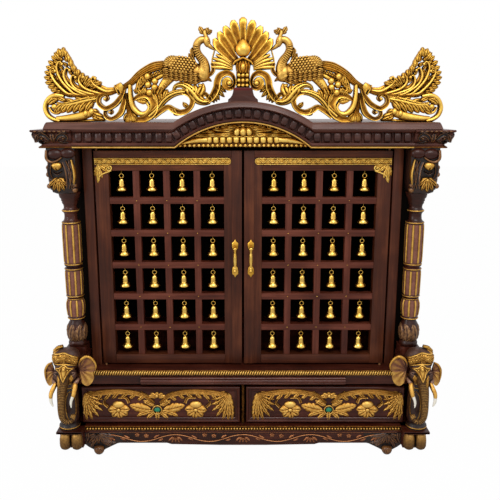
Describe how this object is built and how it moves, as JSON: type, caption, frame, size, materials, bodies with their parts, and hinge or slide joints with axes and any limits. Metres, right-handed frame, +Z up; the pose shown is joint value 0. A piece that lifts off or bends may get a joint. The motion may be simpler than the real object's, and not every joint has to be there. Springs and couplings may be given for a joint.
{
  "type": "pooja mandir",
  "caption": "Carved wooden household shrine with bell lattice doors, turned columns, drawers, pull-out tray and a gilded peacock crest.",
  "frame": {"origin": "on the floor, under the middle of the overall box", "axes": "+X to the right seen from the front, +Y to the back, +Z up; the doors face -Y"},
  "size_m": [1.07, 0.5664, 1.174],
  "materials": {
    "carcass": "dark brown polish over solid wood",
    "base_wood": "dark reddish brown polish, glossy",
    "door_wood": "brown mahogany polish",
    "lattice_wood": "reddish brown polish",
    "gilded_carving": "carved wood, gold paint worn dark in the recesses",
    "dark_carving": "near-black polish with gold on the high spots",
    "column_wood": "pinkish brown facets with gold edge lines",
    "drawer_wood": "dark ground behind the relief",
    "apron_wood": "copper coloured carving on dark wood",
    "hidden_wood": "plain wood",
    "brass": "bright polished brass"
  },
  "bodies": {
    "cabinet": {"base_floor": "base_wood", "base_sides": "base_wood", "base_back": "hidden_wood", "deck": "base_wood", "front_rail": "base_wood", "drawer_divider": "base_wood", "drawer_runners": "hidden_wood", "mouldings": "gilded_carving", "front_apron": "apron_wood", "side_aprons": "base_wood", "feet": "base_wood", "corner_posts": "base_wood", "elephants": "dark_carving", "tusks": "gilded_carving", "tray_guides": "hidden_wood", "door_jambs": "door_wood", "side_panels": "carcass", "back_panel": "hidden_wood", "ceiling_board": "carcass", "columns": "column_wood", "capitals": "dark_carving", "cornice": "carcass", "tympanum": "gilded_carving", "roof_board": "carcass", "crest_pedestal": "carcass", "crest_shell": "gilded_carving", "crest_wings": "gilded_carving"},
    "left_door": {"left_door_frame": "door_wood", "left_door_lattice": "lattice_wood", "left_door_trim": "gilded_carving", "left_door_bells": "brass", "left_door_handle": "brass"},
    "right_door": {"right_door_frame": "door_wood", "right_door_lattice": "lattice_wood", "right_door_trim": "gilded_carving", "right_door_bells": "brass", "right_door_handle": "brass"},
    "left_drawer": {"left_drawer_front": "drawer_wood", "left_drawer_box": "hidden_wood", "left_drawer_carving": "gilded_carving"},
    "right_drawer": {"right_drawer_front": "drawer_wood", "right_drawer_box": "hidden_wood", "right_drawer_carving": "gilded_carving"},
    "tray": {"tray_board": "hidden_wood", "tray_front": "base_wood"}
  },
  "joints": [
    {"name": "left_door_hinge", "type": "hinge", "parent": "cabinet", "child": "left_door", "pos_m": [-0.385, -0.157, 0.55], "axis": [0, 0, -1], "range_deg": [0, 90]},
    {"name": "right_door_hinge", "type": "hinge", "parent": "cabinet", "child": "right_door", "pos_m": [0.385, -0.157, 0.55], "axis": [0, 0, 1], "range_deg": [0, 90]},
    {"name": "left_drawer_slide", "type": "slide", "parent": "cabinet", "child": "left_drawer", "axis": [0, -1, 0], "range_m": [0, 0.3]},
    {"name": "right_drawer_slide", "type": "slide", "parent": "cabinet", "child": "right_drawer", "axis": [0, -1, 0], "range_m": [0, 0.3]},
    {"name": "tray_slide", "type": "slide", "parent": "cabinet", "child": "tray", "axis": [0, -1, 0], "range_m": [0, 0.2]}
  ]
}
